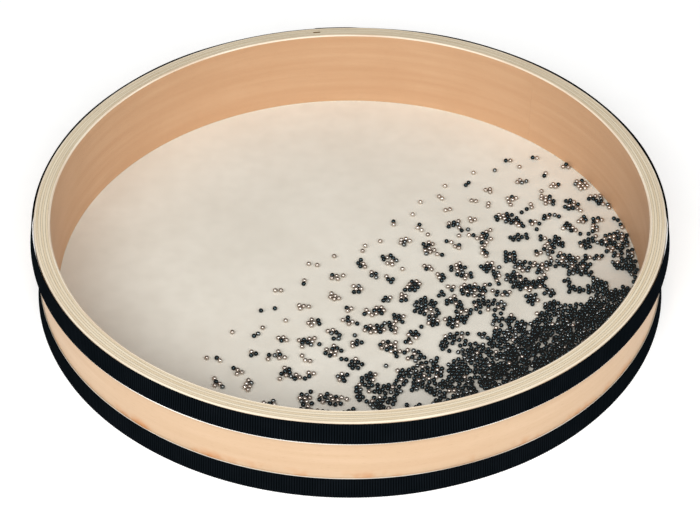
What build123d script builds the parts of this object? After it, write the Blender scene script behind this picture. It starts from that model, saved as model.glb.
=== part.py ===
"""An ocean drum: a bent plywood hoop between a cream head and a clear one, with loose steel beads inside.

The origin is the middle of the lower head's outer face, and +Z points up through the clear head.
Lengths are in millimetres. Angles are in degrees, from +X towards +Y.
"""
from build123d import *
import math
import os
import random

# The plywood hoop
SHELL_DIAMETER = 400.0
SHELL_HEIGHT = 57.5
PLY_COUNT = 7
PLY_THICKNESS = 1.4
PLY_GLUE_LINE = 0.1
OUTER_EDGE_RADIUS = 1.0
INNER_EDGE_CHAMFER = 0.8
EDGE_SHARE_OF_PLY = 0.75
PLY_SEAM_GAP = 0.3
OPEN_SEAM_GAP = 5.0
MIDDLE_SEAM_ANGLE = 97.0
SEAM_STAGGER = 103.7

# The two heads, the glue that holds their skirts, and the ribbons that cover them. The upper skirt flares
# towards its hem, the lower head bulges at its fold, and each ribbon leans with its skirt.
UPPER_FILM_THICKNESS = 0.25
LOWER_FILM_THICKNESS = 0.25
GLUE_BAND_THICKNESS = 0.15
GLUE_BAND_MARGIN = 1.5
LAYER_CLEARANCE = 0.03
UPPER_HEM_FLARE = 2.5
LOWER_FOLD_FLARE = 1.6
RIBBON_WIDTH = 13.4
RIBBON_THICKNESS = 0.5
RIBBON_EASE = 0.2
RIBBON_INSET = 0.25
UPPER_SKIRT_SHOW = 0.6
LOWER_SKIRT_SHOW = 0.2
RIBBON_LAP = 25.0
LAP_RAMP = 8.0
LAP_CLEARANCE = 0.1
UPPER_LAP_ANGLE = 90.0
LOWER_LAP_ANGLE = 55.0

# The beads, and the pool that they have run into. Its cover is the share of the head that beads may take up
# at a distance from the low point of the wall, and above 1 they are as close as they go in. Beads are counted
# within a patch's radius of a place, and thick and thin patches follow each other in waves.
BEAD_DIAMETER = 3.0
BEAD_GAP = 0.06
LOOSE_GAP = 0.8
LOOSE_RARITY = 3
BEAD_HEAD_CLEARANCE = 0.2
BEAD_WALL_CLEARANCE = 0.3
BAND_CLEARANCE = 0.3
CENTRE_BAND_RADIUS = 36.0
INNER_BAND_WIDTH = 32.0
MIDDLE_BAND_WIDTH = 32.0
POOL_ANGLE = -43.0
POOL_WIDENING = 1.75
POOL_COVER = ((0, 2.0), (57, 2.0), (78, 0.4), (112, 0.29), (130, 0.23), (157, 0.13), (187, 0.05), (215, 0.0))
PATCH_RADIUS = 14.0
PATCH_WAVE = 10.0
PATCHINESS = 0.8
CLUMP_SHARE = 0.8
NEST_SHARE = 0.9
STRAY_SPREAD = 40.0
FRINGE_DARK_SHARE = 0.25
POOL_DARK_SHARE = 0.97
DARK_COVER = 0.4
PILED_COVER = 1.6
PILED_COUNT = 430
HOLLOW_SHARE = 0.95
BEAD_SEED = 12
BEAD_TRIES = 120000
TOUCH_TOLERANCE = 1e-6

# Places that follow from the sizes above
SHELL_RADIUS = SHELL_DIAMETER / 2
PLY_PITCH = PLY_THICKNESS + PLY_GLUE_LINE
CHAMBER_RADIUS = SHELL_RADIUS - PLY_COUNT * PLY_PITCH + PLY_GLUE_LINE
SHELL_BOTTOM = LOWER_FILM_THICKNESS
SHELL_TOP = SHELL_BOTTOM + SHELL_HEIGHT
DRUM_HEIGHT = SHELL_TOP + UPPER_FILM_THICKNESS
EDGE_RADIUS = min(OUTER_EDGE_RADIUS, EDGE_SHARE_OF_PLY * PLY_THICKNESS)
EDGE_CHAMFER = min(INNER_EDGE_CHAMFER, EDGE_SHARE_OF_PLY * PLY_THICKNESS)
GLUE_RADIUS = SHELL_RADIUS + LAYER_CLEARANCE
SKIRT_RADIUS = GLUE_RADIUS + GLUE_BAND_THICKNESS + LAYER_CLEARANCE
UPPER_SKIRT_DEPTH = RIBBON_INSET + RIBBON_WIDTH + UPPER_SKIRT_SHOW
LOWER_SKIRT_DEPTH = RIBBON_INSET + RIBBON_WIDTH + LOWER_SKIRT_SHOW
BEAD_PITCH = BEAD_DIAMETER + BEAD_GAP
PATCH_COUNT = math.pi * PATCH_RADIUS ** 2 / (BEAD_PITCH ** 2 * math.sqrt(3) / 2)


def ring(inside, outside, bottom, top):
    """The section of a ring about Z, as a rectangle in the XZ plane."""
    middle = Pos((inside + outside) / 2, (bottom + top) / 2)
    return Plane.XZ * middle * Rectangle(outside - inside, top - bottom)


def ply(index):
    """One bent veneer strip, counted from the outside, with its two ends left apart at its own seam."""
    outside = SHELL_RADIUS - index * PLY_PITCH
    section = ring(outside - PLY_THICKNESS, outside, SHELL_BOTTOM, SHELL_TOP)
    if index == 0:
        section = fillet(section.vertices().group_by(Axis.X)[-1], EDGE_RADIUS)
    if index == PLY_COUNT - 1:
        section = chamfer(section.vertices().group_by(Axis.X)[0], EDGE_CHAMFER)
    from_middle = index - PLY_COUNT // 2
    gap = OPEN_SEAM_GAP if from_middle == 0 else PLY_SEAM_GAP
    gap_angle = math.degrees(gap / outside)
    strip = revolve(section, Axis.Z, 360 - gap_angle)
    seam = MIDDLE_SEAM_ANGLE + from_middle * SEAM_STAGGER
    return Rot(0, 0, seam + gap_angle / 2) * strip


def ply_name(index):
    """The outer and inner plies are the hoop's two faces, and the rest are its core."""
    if index == 0:
        return "outer_face_ply"
    if index == PLY_COUNT - 1:
        return "inner_face_ply"
    return f"core_ply_{index}"


def head(film, skirt_depth, fold_flare, hem_flare):
    """A film laid over a hoop edge at height 0, folded round it and drawn down the outside as a skirt, which
    stands out by one flare at its fold and by another at its hem."""
    fold = EDGE_RADIUS + SKIRT_RADIUS - SHELL_RADIUS
    fold_radius = SKIRT_RADIUS + fold_flare
    hem_radius = SKIRT_RADIUS + hem_flare
    fold_start = fold_radius - fold
    hem = film - skirt_depth
    outline = [
        Line((0, 0), (fold_start, 0)),
        CenterArc((fold_start, -fold), fold, 0, 90),
        Line((fold_radius, -fold), (hem_radius, hem)),
        Line((hem_radius, hem), (hem_radius + film, hem)),
        Line((hem_radius + film, hem), (fold_radius + film, -fold)),
        CenterArc((fold_start, -fold), fold + film, 0, 90),
        Line((fold_start, film), (0, film)),
        Line((0, film), (0, 0)),
    ]
    return revolve(Plane.XZ * make_face(outline), Axis.Z)


def glue_band(film, skirt_depth):
    """The glue under one head's skirt, below a hoop edge at height 0."""
    top = -EDGE_RADIUS - GLUE_BAND_MARGIN
    bottom = film - skirt_depth + GLUE_BAND_MARGIN
    return revolve(ring(GLUE_RADIUS, GLUE_RADIUS + GLUE_BAND_THICKNESS, bottom, top), Axis.Z)


def polar(radius, angle):
    """The place at this distance and angle from the axis."""
    return radius * math.cos(math.radians(angle)), radius * math.sin(math.radians(angle))


def ribbon_section(upper, lower):
    """The section of a ribbon whose inner face lies at these distances from the axis, in the XZ plane."""
    corners = Polyline(
        (lower, 0),
        (lower + RIBBON_THICKNESS, 0),
        (upper + RIBBON_THICKNESS, RIBBON_WIDTH),
        (upper, RIBBON_WIDTH),
        close=True,
    )
    return Plane.XZ * make_face(corners)


def ribbon(film, upper_flare, lower_flare, lap_angle):
    """One turn of ribbon over a skirt of this film, whose tail steps up and laps over the ribbon's start.
    Each of its edges stands out by a flare."""
    upper = SKIRT_RADIUS + film + RIBBON_EASE + upper_flare
    lower = SKIRT_RADIUS + film + RIBBON_EASE + lower_flare
    lift = RIBBON_THICKNESS + LAP_CLEARANCE
    ramp_angle = math.degrees(LAP_RAMP / SHELL_RADIUS)
    lap_end = math.degrees(RIBBON_LAP / SHELL_RADIUS)
    first = ribbon_section(upper, lower)
    lapped = ribbon_section(upper + lift, lower + lift)
    turn = revolve(first, Axis.Z, 360 - ramp_angle)
    ramp = loft([Rot(0, 0, -ramp_angle) * first, lapped])
    tail = revolve(lapped, Axis.Z, lap_end)
    return Rot(0, 0, lap_angle) * (turn + ramp + tail)


def band_limits():
    """The bands that turn apart, and how near to the axis and far from it each one's bead centres may lie."""
    edge_room = (BEAD_DIAMETER + BAND_CLEARANCE) / 2
    wall_room = BEAD_DIAMETER / 2 + BEAD_WALL_CLEARANCE
    inner_start = CENTRE_BAND_RADIUS
    middle_start = inner_start + INNER_BAND_WIDTH
    outer_start = middle_start + MIDDLE_BAND_WIDTH
    return {
        "centre": (0, inner_start - edge_room),
        "inner": (inner_start + edge_room, middle_start - edge_room),
        "middle": (middle_start + edge_room, outer_start - edge_room),
        "outer": (outer_start + edge_room, CHAMBER_RADIUS - wall_room),
    }


class BeadPool:
    """Beads on the lower head: packed and piled against the low wall, and fewer and clumped further from it.

    A bead is the place of its centre, and its lift above one that lies on the head.
    """

    def __init__(self):
        self.chance = random.Random(BEAD_SEED)
        self.bands = band_limits()
        self.groups = {(band, finish): [] for band in self.bands for finish in ("dark", "bright")}
        self.placed = []
        self.cells = {}

    def near(self, x, y, reach):
        """The beads whose centres lie closer than this to a place, seen from above."""
        span = math.ceil(reach / BEAD_PITCH)
        column, row = math.floor(x / BEAD_PITCH), math.floor(y / BEAD_PITCH)
        around = [(column + i, row + j) for i in range(-span, span + 1) for j in range(-span, span + 1)]
        others = [other for key in around for other in self.cells.get(key, ())]
        return [other for other in others if math.dist((x, y), other[:2]) < reach]

    def has_room(self, x, y, lift):
        """Whether a bead here is clear of all others."""
        just_touching = BEAD_PITCH * (1 - TOUCH_TOLERANCE)
        return all(math.dist((x, y, lift), other) >= just_touching for other in self.near(x, y, BEAD_PITCH))

    def cover(self, x, y):
        """The pool's cover at a place."""
        angle = math.radians(POOL_ANGLE)
        along = x * math.cos(angle) + y * math.sin(angle)
        across = y * math.cos(angle) - x * math.sin(angle)
        distance = math.hypot(CHAMBER_RADIUS - along, across / POOL_WIDENING)
        for (start, first), (end, second) in zip(POOL_COVER, POOL_COVER[1:]):
            if distance < end:
                return first + (second - first) * (distance - start) / (end - start)
        return 0

    def put(self, x, y, lift, band, finish):
        """Keeps a bead, in its group and by its place."""
        self.groups[band, finish].append((x, y, lift))
        self.placed.append((x, y, lift))
        key = math.floor(x / BEAD_PITCH), math.floor(y / BEAD_PITCH)
        self.cells.setdefault(key, []).append((x, y, lift))

    def finish(self, x, y):
        """A bead's finish: the further into the pool it lies, the likelier a dark one."""
        depth = min(self.cover(x, y) / DARK_COVER, 1)
        dark_share = FRINGE_DARK_SHARE + (POOL_DARK_SHARE - FRINGE_DARK_SHARE) * depth
        return "dark" if self.chance.random() < dark_share else "bright"

    def anywhere(self):
        """A place picked evenly over the head."""
        radius = CHAMBER_RADIUS * math.sqrt(self.chance.random())
        return polar(radius, self.chance.uniform(0, 360))

    def beside(self, bead):
        """A place against this bead or, more often, in the hollow between it and a neighbour."""
        x, y, _ = bead
        slack = LOOSE_GAP * (1 - min(self.cover(x, y), 1))
        distance = BEAD_PITCH + slack * self.chance.random() ** LOOSE_RARITY
        angle = self.chance.uniform(0, 2 * math.pi)
        partners = [other for other in self.near(x, y, 2 * BEAD_PITCH) if other != bead]
        if partners and self.chance.random() < NEST_SHARE:
            partner = self.chance.choice(partners)
            towards = math.atan2(partner[1] - y, partner[0] - x)
            aside = math.acos(math.dist(bead, partner) / 2 / distance)
            angle = towards + self.chance.choice((-aside, aside))
        return x + distance * math.cos(angle), y + distance * math.sin(angle)

    def settled(self, x, y):
        """The nearest place that is clear of the bands' edges and the wall, and the band that it is in."""
        radius = math.hypot(x, y)
        reached = {band: min(max(radius, least), most) for band, (least, most) in self.bands.items()}
        band = min(reached, key=lambda name: abs(reached[name] - radius))
        share = reached[band] / radius
        return x * share, y * share, band

    def sow(self):
        """One bead of each finish in each band, so that no group is empty."""
        for band, finish in self.groups:
            while not self.groups[band, finish]:
                radius = self.chance.uniform(*self.bands[band])
                turn = POOL_ANGLE + self.chance.uniform(-STRAY_SPREAD, STRAY_SPREAD)
                x, y = polar(radius, turn)
                if self.has_room(x, y, 0):
                    self.put(x, y, 0, band, finish)

    def fill(self):
        """Adds beads, mostly against others, while there are fewer round a place than its cover allows."""
        for _ in range(BEAD_TRIES):
            clumped = self.chance.random() < CLUMP_SHARE
            wanted = self.beside(self.chance.choice(self.placed)) if clumped else self.anywhere()
            if math.hypot(*wanted) > CHAMBER_RADIUS - BEAD_DIAMETER / 2:
                continue
            x, y, band = self.settled(*wanted)
            patch = math.sin(x / PATCH_WAVE) * math.sin((y + x / 2) / PATCH_WAVE)
            most = round(PATCH_COUNT * self.cover(x, y) * (1 + PATCHINESS * patch))
            if self.has_room(x, y, 0) and len(self.near(x, y, PATCH_RADIUS)) < most:
                self.put(x, y, 0, band, self.finish(x, y))

    def pile(self):
        """Lays beads on top of the packed ones, each in the hollow between three."""
        packed = [bead for bead in self.placed if self.cover(*bead[:2]) > PILED_COVER]
        piled = 0
        while piled < PILED_COUNT:
            x, y, _ = self.chance.choice(packed)
            others = [other for other in self.near(x, y, 2 * BEAD_PITCH) if other[2] == 0]
            first, second = [complex(other[0] - x, other[1] - y) for other in self.chance.sample(others, 2)]
            spread = first.conjugate() * second - first * second.conjugate()
            if abs(spread) < BEAD_PITCH ** 2:
                continue
            hollow = first * second * (first - second).conjugate() / spread
            if abs(hollow) > HOLLOW_SHARE * BEAD_PITCH:
                continue
            lift = math.sqrt(BEAD_PITCH ** 2 - abs(hollow) ** 2)
            x, y, band = self.settled(x + hollow.real, y + hollow.imag)
            if self.has_room(x, y, lift):
                self.put(x, y, lift, band, self.finish(x, y))
                piled += 1


def beads(places):
    """Steel balls that lie just clear of the lower head and of each other."""
    height = SHELL_BOTTOM + BEAD_HEAD_CLEARANCE + BEAD_DIAMETER / 2
    ball = Sphere(BEAD_DIAMETER / 2)
    return Compound([Pos(x, y, height + lift) * ball for x, y, lift in places])


def drum():
    """Every node of the drum, by name."""
    nodes = {ply_name(index): ply(index) for index in range(PLY_COUNT)}
    at_top = Pos(0, 0, SHELL_TOP)
    at_bottom = Pos(0, 0, SHELL_BOTTOM) * Rot(180, 0, 0)
    nodes["clear_head"] = at_top * head(UPPER_FILM_THICKNESS, UPPER_SKIRT_DEPTH, 0, UPPER_HEM_FLARE)
    nodes["lower_head"] = at_bottom * head(LOWER_FILM_THICKNESS, LOWER_SKIRT_DEPTH, LOWER_FOLD_FLARE, 0)
    nodes["glue_band_upper"] = at_top * glue_band(UPPER_FILM_THICKNESS, UPPER_SKIRT_DEPTH)
    nodes["glue_band_lower"] = at_bottom * glue_band(LOWER_FILM_THICKNESS, LOWER_SKIRT_DEPTH)
    upper_ribbon = ribbon(UPPER_FILM_THICKNESS, 0, UPPER_HEM_FLARE, UPPER_LAP_ANGLE)
    lower_ribbon = ribbon(LOWER_FILM_THICKNESS, 0, LOWER_FOLD_FLARE, LOWER_LAP_ANGLE)
    nodes["ribbon_upper"] = Pos(0, 0, DRUM_HEIGHT - RIBBON_INSET - RIBBON_WIDTH) * upper_ribbon
    nodes["ribbon_lower"] = Pos(0, 0, RIBBON_INSET) * lower_ribbon
    pool = BeadPool()
    pool.sow()
    pool.fill()
    pool.pile()
    for (band, finish), places in pool.groups.items():
        nodes[f"steel_beads_{band}_{finish}"] = beads(places)
    return nodes


os.makedirs("parts", exist_ok=True)
for name, shape in drum().items():
    export_step(shape, f"parts/{name}.step")
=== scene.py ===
"""The looks of an ocean drum: bent plywood, two film heads, ribbed edge ribbons and loose steel beads.

Lengths are in metres, written as millimetres times MM. Angles are in radians unless a name says degrees.
The hoop's axis is Z, the drum stands on z = 0, and the camera looks along +Y.
"""
import bmesh
import bpy
import math
import numpy as np
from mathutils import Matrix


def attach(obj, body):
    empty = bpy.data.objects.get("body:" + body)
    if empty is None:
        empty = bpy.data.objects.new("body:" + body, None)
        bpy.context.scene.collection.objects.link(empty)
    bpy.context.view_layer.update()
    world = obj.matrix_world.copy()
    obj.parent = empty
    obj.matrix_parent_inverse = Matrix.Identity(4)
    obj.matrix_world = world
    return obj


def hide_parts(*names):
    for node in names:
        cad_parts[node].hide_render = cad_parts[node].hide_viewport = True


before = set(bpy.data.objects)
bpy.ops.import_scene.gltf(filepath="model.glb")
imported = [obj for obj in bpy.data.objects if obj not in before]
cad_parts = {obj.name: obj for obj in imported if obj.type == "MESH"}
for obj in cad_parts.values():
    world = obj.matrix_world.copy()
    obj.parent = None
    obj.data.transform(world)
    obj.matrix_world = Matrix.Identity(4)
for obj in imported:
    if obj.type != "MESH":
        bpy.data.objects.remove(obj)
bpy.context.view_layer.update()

MM = 0.001

# The camera, and the studio round the drum
CAMERA_PLACE = (0.0, -951.8 * MM, 809.1 * MM)
CAMERA_DOWN_DEGREES = 40.16
CAMERA_LENS_MM = 97.95
SENSOR_WIDTH_MM = 36.0
TABLE_SIZE = 40.0
TABLE_DROP = 0.3 * MM
TABLE_GLOW = 0.36
SKY_COLOUR = "#ffffff"
SKY_STRENGTH = 0.15

# The softboxes: name, width, height, distance, degrees up, degrees left of the camera, watts
SOFTBOXES = (
    ("key softbox", 3.2, 1.1, 2.1, 44.0, 4.0, 66.0),
    ("left softbox", 1.2, 0.6, 2.0, 15.0, 80.0, 6.4),
    ("right softbox", 1.2, 0.6, 2.0, 15.0, -80.0, 6.4),
)

# How CAD nodes are measured, and how finely pieces are meshed
HEIGHT_TOLERANCE = 0.05 * MM
SKIN_DEPTH = 0.01 * MM
TURN_STEPS = 720
ROUND_EDGE_STEPS = 5
FOLD_STEPS = 6
MERGE_DISTANCE = 1e-7
SHARP_DEGREES = 35

# The plywood hoop
PLY_EDGE_BEVEL = 0.06 * MM
GLUE_LINE = 0.09 * MM
OUTER_EDGE_RADIUS = 1.0 * MM
INNER_EDGE_CHAMFER = 0.8 * MM
SEAM_STEP_LEAST = 5e-4
TIGHT_SEAM = 0.05 * MM
OPEN_SEAM_LEAST = 1.0 * MM
STREAK_SIDE_SHIFT = 2.7
TINT_TOP = 20.5 * MM
TINT_BOTTOM = 15.0 * MM

# The heads
FILM_THICKNESS = 0.25 * MM
FILM_FOLD_RADIUS = 1.21 * MM
FILM_LIFT = 0.03 * MM
FILM_RING_STEP = 20 * MM
HEM_WIDTH = 0.9 * MM
UPPER_HEM_DROP = 0.7 * MM
LOWER_HEM_DROP = 0.25 * MM

# The ribbons: the share of the CAD node's lean that each one has, and how far it is stuck off its line,
# as (degrees round, degrees to each side, height)
RIBBON_THICKNESS = 0.5 * MM
RIB_DEPTH = 0.22 * MM
RIB_PITCH = 1.5 * MM
STEPS_PER_RIB = 8
LAP_RAMP = 8.0 * MM
THREAD_PITCH = 0.5 * MM
WAVE_RADIANS = 20
RIBBON_WAVER = 0.06 * MM
WAVES_PER_TURN = (3, 5, 8, 13)
UPPER_SEED = 3
LOWER_SEED = 8
UPPER_LEAN = 0.84
LOWER_LEAN = 1.0
UPPER_SHIFTS = ((-88, 40, -0.3 * MM), (96, 40, -1.0 * MM), (150, 60, -0.35 * MM))
LOWER_SHIFTS = ((-80, 12, -0.25 * MM), (-125, 25, -0.2 * MM))

# The beads, and the tones from which a bead is rubbed bare
RUBBED_TONES = (0.85, 0.88)
BEAD_SUBDIVISIONS = 2
SAME_SIZE = 1e-6
FEWEST_VERTICES = 20
BANDS = ("centre", "inner", "middle", "outer")


def vertices(node):
    """A CAD node's vertices, one row each."""
    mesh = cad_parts[node].data
    flat = np.empty(len(mesh.vertices) * 3, np.float32)
    mesh.vertices.foreach_get("co", flat)
    return flat.reshape(-1, 3).astype(float)


def ring_size(node):
    """A round node's least and greatest distance from the axis, and its bottom and top."""
    place = vertices(node)
    radius = np.hypot(place[:, 0], place[:, 1])
    return radius.min(), radius.max(), place[:, 2].min(), place[:, 2].max()


def reach(node, height):
    """A round node's least and greatest distance from the axis near this height."""
    place = vertices(node)
    near = place[np.abs(place[:, 2] - height) < HEIGHT_TOLERANCE]
    radius = np.hypot(near[:, 0], near[:, 1])
    return radius.min(), radius.max()


def outermost_angles(node):
    """The angles of a round node's outermost vertices, from least to greatest."""
    place = vertices(node)
    radius = np.hypot(place[:, 0], place[:, 1])
    outermost = place[radius > radius.max() - SKIN_DEPTH]
    return np.sort(np.arctan2(outermost[:, 1], outermost[:, 0]))


def seam_ends(node):
    """Where a bent ply starts and ends: its seam is the narrowest step between the vertices round it.
    A glued seam is drawn up tight, and an open one stays as wide as it is."""
    angles = outermost_angles(node)
    steps = np.diff(np.append(angles, angles[0] + 2 * math.pi))
    steps[steps < SEAM_STEP_LEAST] = math.inf
    last = int(np.argmin(steps))
    middle = angles[last] + steps[last] / 2
    radius = ring_size(node)[1]
    gap = steps[last] * radius
    half = (gap if gap > OPEN_SEAM_LEAST else TIGHT_SEAM) / 2 / radius
    return middle + half, middle - half + 2 * math.pi


def linear(colour):
    """An sRGB hex colour as linear red, green, blue and full alpha."""
    shares = [int(colour[i:i + 2], 16) / 255 for i in (1, 3, 5)]
    return [c / 12.92 if c <= 0.04045 else ((c + 0.055) / 1.055) ** 2.4 for c in shares] + [1.0]


def add(tree, kind, inputs=None, **settings):
    """Adds a node with its settings, and gives each named input a value or another node's output."""
    node = tree.nodes.new(kind)
    for name, value in settings.items():
        setattr(node, name, value)
    for key, value in (inputs or {}).items():
        if isinstance(value, bpy.types.NodeSocket):
            tree.links.new(value, node.inputs[key])
        else:
            node.inputs[key].default_value = value
    return node


def start_material(name, sockets):
    """A material with these values on its shader. Returns it with its tree and its shader."""
    material = bpy.data.materials.new(name)
    material.use_nodes = True
    shader = material.node_tree.nodes["Principled BSDF"]
    for key, value in sockets.items():
        shader.inputs[key].default_value = value
    return material, material.node_tree, shader


def reckoned(tree, operation, *values):
    """The result of an operation on values and other nodes' outputs."""
    return add(tree, "ShaderNodeMath", dict(enumerate(values)), operation=operation).outputs["Value"]


def times(tree, value, factor):
    """A value times another value or a fixed factor."""
    return reckoned(tree, "MULTIPLY", value, factor)


def share(tree, value, low, high):
    """How far a value lies from low to high, from 0 to 1."""
    return add(tree, "ShaderNodeMapRange", {
        "Value": value, "From Min": low, "From Max": high}).outputs["Result"]


def streaks(tree, shift, length, width, low, high):
    """Streaks of this length and width that run along a strip, from 0 between them to 1 in them."""
    strip = add(tree, "ShaderNodeUVMap", uv_map="strip")
    scaled = add(tree, "ShaderNodeMapping", {
        "Vector": strip.outputs["UV"], "Location": (shift, STREAK_SIDE_SHIFT * shift, 0),
        "Scale": (1 / length, 1 / width, 1)})
    noise = add(tree, "ShaderNodeTexNoise", {
        "Vector": scaled.outputs["Vector"], "Scale": 1.0, "Detail": 3.0, "Roughness": 0.55},
        noise_dimensions="2D")
    return share(tree, noise.outputs["Fac"], low, high)


def blotches(tree, size, low, high, detail=3.0):
    """Cloudy patches of this size in the piece's own space, from 0 to 1."""
    place = add(tree, "ShaderNodeTexCoord")
    noise = add(tree, "ShaderNodeTexNoise", {
        "Vector": place.outputs["Object"], "Scale": 1 / size, "Detail": detail, "Roughness": 0.6})
    return share(tree, noise.outputs["Fac"], low, high)


def between_heights(tree, start, end):
    """A share that goes from 0 at one height of the piece to 1 at another."""
    place = add(tree, "ShaderNodeTexCoord")
    height = add(tree, "ShaderNodeSeparateXYZ", {0: place.outputs["Object"]})
    return share(tree, height.outputs["Z"], start, end)


def sawn_edge(tree, least, most):
    """A share that is 1 on a strip's level sawn edge and 0 on its upright faces."""
    place = add(tree, "ShaderNodeTexCoord")
    normal = add(tree, "ShaderNodeSeparateXYZ", {0: place.outputs["Normal"]})
    return share(tree, reckoned(tree, "ABSOLUTE", normal.outputs["Z"]), least, most)


def mixed(tree, share, first, second):
    """Two colours mixed by a share from 0 to 1."""
    return add(tree, "ShaderNodeMix", {0: share, 6: first, 7: second}, data_type="RGBA").outputs[2]


def embossed(tree, shader, height, strength, depth, sunk=False):
    """Raises a finish where this height is great, or sinks it there."""
    bump = add(tree, "ShaderNodeBump", {
        "Height": height, "Strength": strength, "Distance": depth}, invert=sunk)
    tree.links.new(bump.outputs["Normal"], shader.inputs["Normal"])


def face_veneer(name, pale, deep, fleck, edge, shift, tinted_above_skirt=False):
    """Sliced beech veneer, sanded and oiled: a satin face with faint long bands and short dark flecks along
    the grain, and a paler sawn edge on the rim, whose pale colour runs far down the eased edge beside it
    as a painted highlight line. The flecks are drawn 0.5 mm wide, so that they show.
    A face with the tint is darker orange in patches just above the lower skirt."""
    material, tree, shader = start_material(name, {"Roughness": 0.5, "IOR": 1.5, "Specular IOR Level": 0.3})
    bands = streaks(tree, shift, 160 * MM, 6 * MM, 0.3, 0.7)
    fine_bands = streaks(tree, shift + 3, 50 * MM, 1.4 * MM, 0.35, 0.75)
    flecks = streaks(tree, shift + 7, 5 * MM, 0.5 * MM, 0.62, 0.74)
    face = mixed(tree, bands, linear(pale), linear(deep))
    face = mixed(tree, times(tree, fine_bands, 0.3), face, linear(deep))
    face = mixed(tree, times(tree, blotches(tree, 35 * MM, 0.35, 0.7), 0.6), face, linear(deep))
    face = mixed(tree, times(tree, flecks, 0.25), face, linear(fleck))
    if tinted_above_skirt:
        # Darker orange in patches between these heights, just above the lower skirt.
        low_down = between_heights(tree, TINT_TOP, TINT_BOTTOM)
        tint_above_skirt = times(tree, low_down, blotches(tree, 22 * MM, 0.5, 0.68))
        face = mixed(tree, times(tree, tint_above_skirt, 0.75), face, linear("#b9763c"))
    sawn = mixed(tree, times(tree, fine_bands, 0.5), linear(edge), linear(deep))
    # The pale sawn colour is carried far down the eased edge: a painted highlight line along the rim.
    colour = mixed(tree, sawn_edge(tree, 0.2, 0.5), face, sawn)
    tree.links.new(colour, shader.inputs["Base Color"])
    embossed(tree, shader, flecks, 0.25, 0.05 * MM, sunk=True)
    return material


def core_veneer(name, pale, deep, shift, grain_length):
    """Rotary-cut core veneer seen on its sawn and sanded edge: matt, pale, with fine lines along the rim.
    A ply that lies across the grain has short dots there instead of lines. Its upright faces are painted
    brown
    to near black: real glue, which shows as thin broken lines between the plies, and painted shade in the
    dark pocket where a ply stops short."""
    material, tree, shader = start_material(name, {"Roughness": 0.62, "IOR": 1.5, "Specular IOR Level": 0.3})
    tones = streaks(tree, shift, 60 * MM, 2.5 * MM, 0.3, 0.7)
    lines = streaks(tree, shift + 5, grain_length, 0.45 * MM, 0.45, 0.75)
    wood = mixed(tree, tones, linear(pale), linear(deep))
    wood = mixed(tree, times(tree, lines, 0.5), wood, linear(deep))
    smears = streaks(tree, shift + 9, 18 * MM, 4 * MM, 0.4, 0.65)
    # Brown glue going to near black: real glue lines between the plies, and painted shade in the pocket where
    # a ply stops short.
    glued = mixed(tree, smears, linear("#7d643f"), linear("#1c120a"))
    colour = mixed(tree, sawn_edge(tree, 0.75, 0.95), glued, wood)
    tree.links.new(colour, shader.inputs["Base Color"])
    embossed(tree, shader, lines, 0.2, 0.05 * MM, sunk=True)
    return material


def clear_film(hem):
    """Clear polyester film, cast smooth: nearly invisible, with slight smears in its gloss, but milky along
    its cut hem, where the edge is crazed."""
    material, tree, shader = start_material("clear polyester film", {
        "Base Color": linear("#fbf8f1"), "IOR": 1.57})
    smears = blotches(tree, 60 * MM, 0.35, 0.7)
    roughness = add(tree, "ShaderNodeMapRange", {"Value": smears, "To Min": 0.05, "To Max": 0.2})
    tree.links.new(roughness.outputs["Result"], shader.inputs["Roughness"])
    crazed = between_heights(tree, hem + 1.3 * HEM_WIDTH, hem + HEM_WIDTH)
    veil = add(tree, "ShaderNodeMapRange", {"Value": crazed, "To Min": 0.006, "To Max": 0.9})
    tree.links.new(veil.outputs["Result"], shader.inputs["Alpha"])
    return material


def cream_film():
    """Synthetic parchment, a matt film with milky clouds and faint fibres pressed into it."""
    material, tree, shader = start_material("synthetic parchment", {
        "Roughness": 0.55, "IOR": 1.57, "Specular IOR Level": 0.25})
    clouds = blotches(tree, 75 * MM, 0.3, 0.7)
    mottle = blotches(tree, 11 * MM, 0.4, 0.72, 5.0)
    colour = mixed(tree, clouds, linear("#eae5d9"), linear("#e0dacd"))
    colour = mixed(tree, times(tree, mottle, 0.3), colour, linear("#d3ccbe"))
    tree.links.new(colour, shader.inputs["Base Color"])
    embossed(tree, shader, mottle, 0.15, 0.1 * MM)
    return material


def dried_glue():
    """Contact glue dried to an amber skin, uneven where it was brushed on."""
    material, tree, shader = start_material("dried contact glue", {"Roughness": 0.3, "IOR": 1.52})
    brushed = blotches(tree, 4 * MM, 0.3, 0.7)
    tree.links.new(mixed(tree, brushed, linear("#c99a5c"), linear("#a87a42")), shader.inputs["Base Color"])
    return material


def black_grosgrain():
    """Black polyester grosgrain, woven with thick ribs across it: blue-black and matt, with pure black
    painted in the grooves between the ribs as painted shade. The warp is drawn as threads 0.5 mm apart, so
    that they show."""
    material, tree, shader = start_material("woven polyester grosgrain", {
        "Roughness": 0.85, "IOR": 1.5, "Specular IOR Level": 0.0})
    crest = add(tree, "ShaderNodeAttribute", attribute_name="crest").outputs["Fac"]
    place = add(tree, "ShaderNodeTexCoord").outputs["Object"]
    threads = add(tree, "ShaderNodeTexWave", {
        "Vector": place, "Scale": 2 * math.pi / (WAVE_RADIANS * THREAD_PITCH), "Distortion": 0.0},
        bands_direction="Z").outputs["Fac"]
    dust = blotches(tree, 14 * MM, 0.4, 0.7)
    rib = mixed(tree, times(tree, threads, 0.3), linear("#0e1317"), linear("#07090b"))
    rib = mixed(tree, times(tree, dust, 0.3), rib, linear("#171b20"))
    # Pure black where the rib shape sinks: painted shade in the grooves.
    tree.links.new(mixed(tree, crest, linear("#000000"), rib), shader.inputs["Base Color"])
    embossed(tree, shader, threads, 0.3, 0.1 * MM)
    return material


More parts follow.
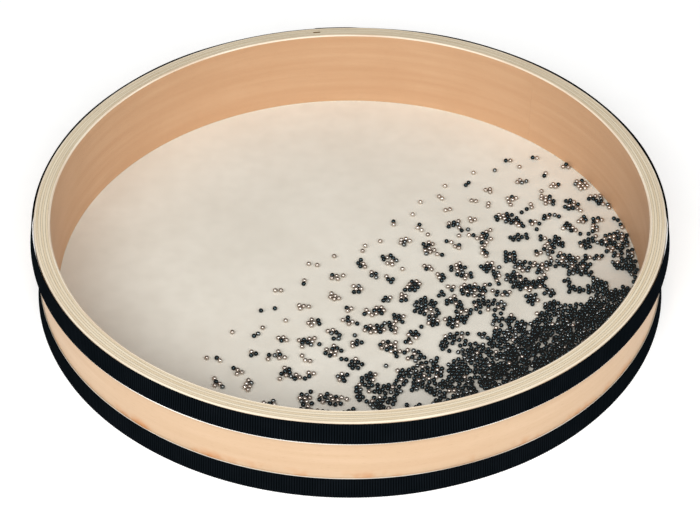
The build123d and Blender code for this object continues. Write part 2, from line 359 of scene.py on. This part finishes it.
def steel(name, dark, pale, gleaming, roughness, edge):
    """Tumbled steel shot: a metal that mirrors the softbox as a bright dot, each bead in its own tone. About
    one bead in seven is rubbed bare and gleams."""
    material, tree, shader = start_material(name, {
        "Metallic": 1.0, "Roughness": roughness, "Specular Tint": linear(edge)})
    tone = add(tree, "ShaderNodeAttribute", attribute_name="tone").outputs["Fac"]
    scuffs = blotches(tree, 0.9 * MM, 0.35, 0.7)
    rubbed = share(tree, tone, *RUBBED_TONES)
    colour = mixed(tree, tone, linear(dark), linear(pale))
    colour = mixed(tree, times(tree, scuffs, 0.3), colour, linear(dark))
    colour = mixed(tree, rubbed, colour, linear(gleaming))
    tree.links.new(colour, shader.inputs["Base Color"])
    return material


def light_table():
    """An opal acrylic light table, lit from below: white all over, with hardly a shadow on it."""
    material, tree, shader = start_material("opal acrylic light table", {
        "Roughness": 0.7, "Specular IOR Level": 0.1, "Emission Color": linear("#ffffff"),
        "Emission Strength": TABLE_GLOW})
    opal = blotches(tree, 30 * MM, 0.3, 0.7)
    tree.links.new(mixed(tree, opal, linear("#efefee"), linear("#ececeb")), shader.inputs["Base Color"])
    return material


def rounded(corners):
    """An outline with square corners, each (radius, height, rounding, steps), where a rounding of one step is
    a bevel and a rounding of 0 leaves the corner."""
    outline = []
    for before, corner, after in zip(corners[-1:] + corners[:-1], corners, corners[1:] + corners[:1]):
        radius, height, rounding, steps = corner
        place = np.array([radius, height])
        if rounding == 0:
            outline.append(place)
            continue
        back, ahead = [np.array(other[:2]) - place for other in (before, after)]
        back, ahead = back / np.linalg.norm(back), ahead / np.linalg.norm(ahead)
        centre = place + rounding * (back + ahead)
        for angle in np.linspace(0, math.pi / 2, steps + 1):
            outline.append(centre - rounding * (ahead * math.cos(angle) + back * math.sin(angle)))
    return outline


def turned(name, outline, material, start=0.0, end=2 * math.pi):
    """A closed outline turned about Z, and capped where that isn't a whole turn.

    Its UV map is in metres: u runs along the turn at the mean radius, and v round the outline.
    """
    points = np.array(outline)
    count = len(points)
    angles = np.linspace(start, end, TURN_STEPS + 1)
    around = np.stack([np.cos(angles), np.sin(angles)], axis=1)
    across = points[None, :, :1] * around[:, None, :]
    heights = np.broadcast_to(points[None, :, 1:], (len(angles), count, 1))
    places = np.concatenate([across, heights], axis=2).reshape(-1, 3)
    sides = [b for b in range(count) if points[b, 0] + points[(b + 1) % count, 0] > 0]
    run = np.append(0, np.cumsum(np.linalg.norm(np.roll(points, -1, axis=0) - points, axis=1)))
    along = angles * points[:, 0].mean()
    faces, uvs = [], []
    for a in range(TURN_STEPS):
        this, following = a * count, (a + 1) * count
        for b in sides:
            c = (b + 1) % count
            faces.append((this + b, following + b, following + c, this + c))
            uvs += [(along[a], run[b]), (along[a + 1], run[b])]
            uvs += [(along[a + 1], run[b + 1]), (along[a], run[b + 1])]
    if end - start < 2 * math.pi:
        faces += [tuple(range(count)), tuple(TURN_STEPS * count + b for b in range(count))]
        uvs += [(0, 0)] * (2 * count)
    mesh = bpy.data.meshes.new(name)
    mesh.from_pydata(places.tolist(), [], faces)
    mesh.uv_layers.new(name="strip").data.foreach_set("uv", np.array(uvs, np.float32).ravel())
    return closed(name, mesh, material)


def closed(name, mesh, material):
    """A piece from a mesh, with its doubles merged, its faces outwards and its round sides smooth."""
    shape = bmesh.new()
    shape.from_mesh(mesh)
    bmesh.ops.remove_doubles(shape, verts=shape.verts, dist=MERGE_DISTANCE)
    bmesh.ops.recalc_face_normals(shape, faces=shape.faces)
    shape.to_mesh(mesh)
    shape.free()
    mesh.materials.append(material)
    mesh.shade_smooth()
    mesh.set_sharp_from_angle(angle=math.radians(SHARP_DEGREES))
    piece = bpy.data.objects.new(name, mesh)
    bpy.context.scene.collection.objects.link(piece)
    return piece


def stand_for(piece, node, body="drum"):
    """Puts a finished piece on its body, in the place of the CAD node that it stands for."""
    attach(piece, body)
    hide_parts(node)


def ply_piece(node, name, material, outer_edge, inner_edge, glued=True):
    """One bent veneer strip, each long edge eased by a size in so many steps, with its ends at its own seam.
    A glued one takes in the glue line inside it, so that no gap shows on the rim."""
    inside, outside, bottom, top = ring_size(node)
    if glued:
        inside -= GLUE_LINE
    outline = rounded([
        (inside, bottom, *inner_edge), (outside, bottom, *outer_edge),
        (outside, top, *outer_edge), (inside, top, *inner_edge)])
    stand_for(turned(name, outline, material, *seam_ends(node)), node)


def hoop():
    """The seven bent plies, each from its own CAD ring."""
    bevel = (PLY_EDGE_BEVEL, 1)
    round_edge = (OUTER_EDGE_RADIUS, ROUND_EDGE_STEPS)
    outer = face_veneer("oiled beech face veneer", "#c8ab8c", "#c0a181", "#9a7758", "#eee2cb", 1.0, True)
    ply_piece("outer_face_ply", "veneer_outer", outer, round_edge, bevel)
    inner = face_veneer("oiled beech lining veneer", "#cea681", "#c69b75", "#a97d54", "#f4e8d2", 4.0)
    ply_piece("inner_face_ply", "veneer_inner", inner, bevel, (INNER_EDGE_CHAMFER, 1), False)
    cores = [node for node in sorted(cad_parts) if node.startswith("core_ply")]
    for index, node in enumerate(cores):
        crosswise = index % 2 == 0
        colours = ("#e3d4b9", "#d5c2a2") if crosswise else ("#e9dcc3", "#decfb5")
        grain_length = 1.2 * MM if crosswise else 25 * MM
        veneer = core_veneer(f"core veneer {index + 1}", *colours, 10.0 + index, grain_length)
        ply_piece(node, f"veneer_core_{index + 1}", veneer, bevel, bevel)


def head_piece(node, name, material, upward, lean, hem_drop):
    """A film across the hoop, folded over its edge and drawn along the outside to a cut hem, which leans
    out by a share of what the CAD node does and hangs a little below it."""
    _, _, bottom, top = ring_size(node)
    face, hem = (top, bottom) if upward else (bottom, top)
    inwards = -1 if upward else 1
    under = face + inwards * (FILM_THICKNESS - FILM_LIFT)
    fold_end = face + inwards * (FILM_FOLD_RADIUS + FILM_THICKNESS)
    skirt_start = fold_end + inwards * FILM_LIFT
    fold_radius, hem_radius = reach(node, fold_end)[1], reach(node, hem)[1]
    hem_radius = fold_radius + (hem_radius - fold_radius) * lean
    hem -= hem_drop
    rings = np.arange(0, fold_radius - FILM_RING_STEP / 2, FILM_RING_STEP)
    corners = [(radius, face, 0, 0) for radius in rings]
    corners += [(fold_radius, face, FILM_FOLD_RADIUS + FILM_THICKNESS, FOLD_STEPS)]
    corners += [(fold_radius, skirt_start, 0, 0)]
    corners += [(hem_radius, hem, 0, 0), (hem_radius - FILM_THICKNESS, hem, 0, 0)]
    corners += [(fold_radius - FILM_THICKNESS, skirt_start, 0, 0)]
    corners += [(fold_radius - FILM_THICKNESS, under, FILM_FOLD_RADIUS, FOLD_STEPS)]
    corners += [(radius, under, 0, 0) for radius in rings[::-1]]
    stand_for(turned(name, rounded(corners), material), node)


def heads():
    """The clear head above and the cream head below, with the glue bands that hold their skirts."""
    clear = clear_film(ring_size("clear_head")[2] - UPPER_HEM_DROP)
    head_piece("clear_head", "head_clear", clear, True, UPPER_LEAN, UPPER_HEM_DROP)
    head_piece("lower_head", "head_cream", cream_film(), False, LOWER_LEAN, LOWER_HEM_DROP)
    glue = dried_glue()
    for node in ("glue_band_upper", "glue_band_lower"):
        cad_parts[node].data.materials.clear()
        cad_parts[node].data.materials.append(glue)


def geometry_tree(name, inputs):
    """A new geometry node tree with a geometry input and output and these named inputs."""
    tree = bpy.data.node_groups.new(name, "GeometryNodeTree")
    for label, kind in {"Source": "NodeSocketGeometry", **inputs}.items():
        tree.interface.new_socket(label, in_out="INPUT", socket_type=kind)
    tree.interface.new_socket("Result", in_out="OUTPUT", socket_type="NodeSocketGeometry")
    return tree


def grown(name, points, edges, tree, values):
    """Runs a geometry node tree on points and edges, and keeps what it makes as a plain mesh."""
    mesh = bpy.data.meshes.new(name)
    mesh.from_pydata(points, edges, [])
    piece = bpy.data.objects.new(name, mesh)
    bpy.context.scene.collection.objects.link(piece)
    modifier = piece.modifiers.new(name, "NODES")
    modifier.node_group = tree
    for socket in tree.interface.items_tree:
        if socket.name in values:
            modifier[socket.identifier] = values[socket.name]
    graph = bpy.context.evaluated_depsgraph_get()
    result = bpy.data.meshes.new_from_object(piece.evaluated_get(graph))
    piece.modifiers.remove(modifier)
    piece.data = result
    return piece


def stored(tree, geometry, name, value, domain="POINT"):
    """A geometry with a value stored on it under a name."""
    return add(tree, "GeometryNodeStoreNamedAttribute", {
        "Geometry": geometry, "Name": name, "Value": value}, data_type="FLOAT", domain=domain).outputs[0]


def recalled(tree, name):
    """The value that is stored under a name."""
    return add(tree, "GeometryNodeInputNamedAttribute", {"Name": name}, data_type="FLOAT").outputs[0]


def end_tree(tree, geometry, finish):
    """Makes a tree's copies real, gives them their finish and hands them out."""
    real = add(tree, "GeometryNodeRealizeInstances", {"Geometry": geometry})
    done = add(tree, "GeometryNodeSetMaterial", {"Geometry": real.outputs[0], "Material": finish})
    add(tree, "NodeGroupOutput", {"Result": done.outputs[0]})


def ribbon_tree():
    """Sweeps a flat band along a path, leans its lower edge outwards and raises ribs on its outer face."""
    tree = geometry_tree("ribbed ribbon", {
        "Width": "NodeSocketFloat", "Band thickness": "NodeSocketFloat", "Rib pitch": "NodeSocketFloat",
        "Rib depth": "NodeSocketFloat", "Lean": "NodeSocketFloat", "Steps per rib": "NodeSocketInt",
        "Finish": "NodeSocketMaterial"})
    given = add(tree, "NodeGroupInput").outputs
    path = add(tree, "GeometryNodeMeshToCurve", {"Mesh": given["Source"]})
    step = reckoned(tree, "DIVIDE", given["Rib pitch"], given["Steps per rib"])
    even = add(tree, "GeometryNodeResampleCurve", {
        "Curve": path.outputs[0], "Length": step}, mode="LENGTH")
    length = add(tree, "GeometryNodeSplineParameter").outputs["Length"]
    turns = reckoned(tree, "DIVIDE", length, given["Rib pitch"])
    wave = reckoned(tree, "SINE", times(tree, turns, math.pi))
    # The rib height share shapes the ribs, and the grosgrain finish also paints the grooves black by it as
    # painted shade.
    ridged = stored(tree, even.outputs[0], "crest", reckoned(tree, "ABSOLUTE", wave))
    upright = add(tree, "GeometryNodeSetCurveNormal", {"Curve": ridged}, mode="Z_UP")
    section = add(tree, "GeometryNodeCurvePrimitiveQuadrilateral", {
        "Width": given["Band thickness"], "Height": given["Width"]})
    place = add(tree, "GeometryNodeInputPosition").outputs["Position"]
    corner = add(tree, "ShaderNodeSeparateXYZ", {0: place}).outputs
    sided = stored(tree, section.outputs[0], "side", corner["X"])
    across = reckoned(tree, "DIVIDE", corner["Y"], given["Width"])
    marked = stored(tree, sided, "lean", times(tree, across, given["Lean"]))
    band = add(tree, "GeometryNodeCurveToMesh", {
        "Curve": upright.outputs[0], "Profile Curve": marked, "Fill Caps": True})
    outer = reckoned(tree, "GREATER_THAN", recalled(tree, "side"), 0.0)
    raised = times(tree, recalled(tree, "crest"), given["Rib depth"])
    moved = reckoned(tree, "MULTIPLY_ADD", raised, outer, recalled(tree, "lean"))
    level = add(tree, "ShaderNodeVectorMath", {0: place, 1: (1.0, 1.0, 0.0)}, operation="MULTIPLY")
    outwards = add(tree, "ShaderNodeVectorMath", {0: level.outputs[0]}, operation="NORMALIZE")
    push = add(tree, "ShaderNodeVectorMath", {
        0: outwards.outputs[0], "Scale": moved}, operation="SCALE")
    ribbed = add(tree, "GeometryNodeSetPosition", {"Geometry": band.outputs[0], "Offset": push.outputs[0]})
    flat = add(tree, "GeometryNodeSetShadeSmooth", {"Geometry": ribbed.outputs[0], "Shade Smooth": False})
    end_tree(tree, flat.outputs[0], given["Finish"])
    return tree


def off_line(angles, shifts, seed):
    """How far a ribbon is stuck above its line at each angle: some smooth shifts, and a slight waver."""
    chance = np.random.default_rng(seed)
    height = np.zeros(len(angles))
    for middle, spread, shift in shifts:
        away = np.abs((np.degrees(angles) - middle + 180) % 360 - 180) / spread
        height += shift * np.where(away < 1, (1 + np.cos(np.pi * away)) / 2, 0)
    for waves in WAVES_PER_TURN:
        height += RIBBON_WAVER * chance.normal() * np.sin(waves * angles + chance.uniform(0, 2 * math.pi))
    return height


def ribbon_piece(node, name, tree, material, shifts, lean, seed):
    """One turn of ribbon from its CAD ring, whose tail steps up and laps over the start. Its lower edge leans
    out by a share of what the CAD node does."""
    _, _, bottom, top = ring_size(node)
    upper, _ = reach(node, top)
    lower, outmost = reach(node, bottom)
    tail = outermost_angles(node)
    band = RIBBON_THICKNESS - RIB_DEPTH
    lift = outmost - lower - RIBBON_THICKNESS
    lower = upper + (lower - upper) * lean
    ramp = LAP_RAMP / outmost
    angles = np.linspace(tail[0], tail[-1] + 2 * math.pi, 2 * TURN_STEPS)
    rise = np.clip((angles - tail[0] - 2 * math.pi + ramp) / ramp, 0, 1)
    radius = (upper + lower) / 2 + band / 2 + lift * rise
    width = top - bottom
    height = np.maximum((bottom + top) / 2 + off_line(angles, shifts, seed), width / 2)
    path = np.column_stack([radius * np.cos(angles), radius * np.sin(angles), height])
    edges = [(i, i + 1) for i in range(len(path) - 1)]
    piece = grown(name, path.tolist(), edges, tree, {
        "Width": width, "Band thickness": band, "Rib pitch": RIB_PITCH, "Rib depth": RIB_DEPTH,
        "Lean": lower - upper, "Steps per rib": STEPS_PER_RIB, "Finish": material})
    stand_for(piece, node)


def ribbons():
    """The upper and the lower ribbon."""
    tree = ribbon_tree()
    grosgrain = black_grosgrain()
    ribbon_piece("ribbon_upper", "grosgrain_upper", tree, grosgrain, UPPER_SHIFTS, UPPER_LEAN, UPPER_SEED)
    ribbon_piece("ribbon_lower", "grosgrain_lower", tree, grosgrain, LOWER_SHIFTS, LOWER_LEAN, LOWER_SEED)


def bead_tree():
    """Puts a round bead on every point, turned at random and with a tone of its own."""
    tree = geometry_tree("loose beads", {
        "Bead radius": "NodeSocketFloat", "Seed": "NodeSocketInt", "Finish": "NodeSocketMaterial"})
    given = add(tree, "NodeGroupInput").outputs
    ball = add(tree, "GeometryNodeMeshIcoSphere", {
        "Radius": given["Bead radius"], "Subdivisions": BEAD_SUBDIVISIONS})
    smooth = add(tree, "GeometryNodeSetShadeSmooth", {"Geometry": ball.outputs["Mesh"], "Shade Smooth": True})
    turn = add(tree, "FunctionNodeRandomValue", {
        1: (2 * math.pi,) * 3, "Seed": given["Seed"]}, data_type="FLOAT_VECTOR")
    placed = add(tree, "GeometryNodeInstanceOnPoints", {
        "Points": given["Source"], "Instance": smooth.outputs[0], "Rotation": turn.outputs[0]})
    tone = add(tree, "FunctionNodeRandomValue", {"Seed": given["Seed"]}, data_type="FLOAT")
    toned = stored(tree, placed.outputs[0], "tone", tone.outputs[1], "INSTANCE")
    end_tree(tree, toned, given["Finish"])
    return tree


def bead_runs(node):
    """A CAD node's vertices bead by bead. Its beads have the same mesh, one after another, so the shortest
    runs of vertices that all have one size are the beads."""
    place = vertices(node)
    for count in range(FEWEST_VERTICES, len(place) + 1):
        if len(place) % count == 0:
            runs = place.reshape(-1, count, 3)
            if np.ptp(np.ptp(runs, axis=1), axis=0).max() < SAME_SIZE:
                return runs


def bead_piece(node, name, tree, material, body, seed):
    """All the beads of one CAD node, each in its own place."""
    runs = bead_runs(node)
    lowest, highest = runs.min(axis=1), runs.max(axis=1)
    radius = (highest - lowest).max() / 2
    centres = (lowest + highest) / 2
    piece = grown(name, centres.tolist(), [], tree, {"Bead radius": radius, "Seed": seed, "Finish": material})
    stand_for(piece, node, body)


def beads():
    """The beads of each band, dark and bright."""
    finishes = {
        "dark": steel("blued steel shot", "#1d282c", "#334146", "#7d8283", 0.16, "#050505"),
        "bright": steel("polished steel shot", "#b5aaa0", "#d2c9c0", "#dbd3ca", 0.33, "#a89c92"),
    }
    tree = bead_tree()
    for index, band in enumerate(BANDS):
        for finish, material in finishes.items():
            node = f"steel_beads_{band}_{finish}"
            name = f"shot_{band}_{finish}"
            bead_piece(node, name, tree, material, f"beads_{band}", index)


def table():
    """A white light table under the drum."""
    mesh = bpy.data.meshes.new("light_table")
    half = TABLE_SIZE / 2
    corners = [(-half, -half), (half, -half), (half, half), (-half, half)]
    mesh.from_pydata([(x, y, -TABLE_DROP) for x, y in corners], [], [(0, 1, 2, 3)])
    mesh.materials.append(light_table())
    piece = bpy.data.objects.new("light_table", mesh)
    bpy.context.scene.collection.objects.link(piece)


def sky():
    """An even white sky."""
    world = bpy.data.worlds.new("studio sky")
    world.use_nodes = True
    background = world.node_tree.nodes["Background"]
    background.inputs["Color"].default_value = linear(SKY_COLOUR)
    background.inputs["Strength"].default_value = SKY_STRENGTH
    bpy.context.scene.world = world


def softboxes():
    """A wide softbox above the camera and a small one at each side, all aimed at the drum."""
    for name, width, height, distance, up_degrees, left_degrees, watts in SOFTBOXES:
        light = bpy.data.lights.new(name, "AREA")
        light.shape = "RECTANGLE"
        light.size = width
        light.size_y = height
        light.energy = watts
        softbox = bpy.data.objects.new(name, light)
        up = math.radians(up_degrees)
        left = math.radians(left_degrees)
        level = distance * math.cos(up)
        softbox.location = (-level * math.sin(left), -level * math.cos(left), distance * math.sin(up))
        softbox.rotation_euler = (-softbox.location).to_track_quat("-Z", "Y").to_euler()
        bpy.context.scene.collection.objects.link(softbox)


def camera():
    """The camera in front of the drum, looking down at it."""
    view = bpy.data.cameras.new("camera")
    view.sensor_width = SENSOR_WIDTH_MM
    view.lens = CAMERA_LENS_MM
    piece = bpy.data.objects.new("camera", view)
    piece.location = CAMERA_PLACE
    piece.rotation_euler = (math.radians(90 - CAMERA_DOWN_DEGREES), 0, 0)
    bpy.context.scene.collection.objects.link(piece)
    bpy.context.scene.camera = piece


bpy.context.scene.view_settings.view_transform = "Standard"
table()
sky()
softboxes()
camera()
hoop()
heads()
ribbons()
beads()
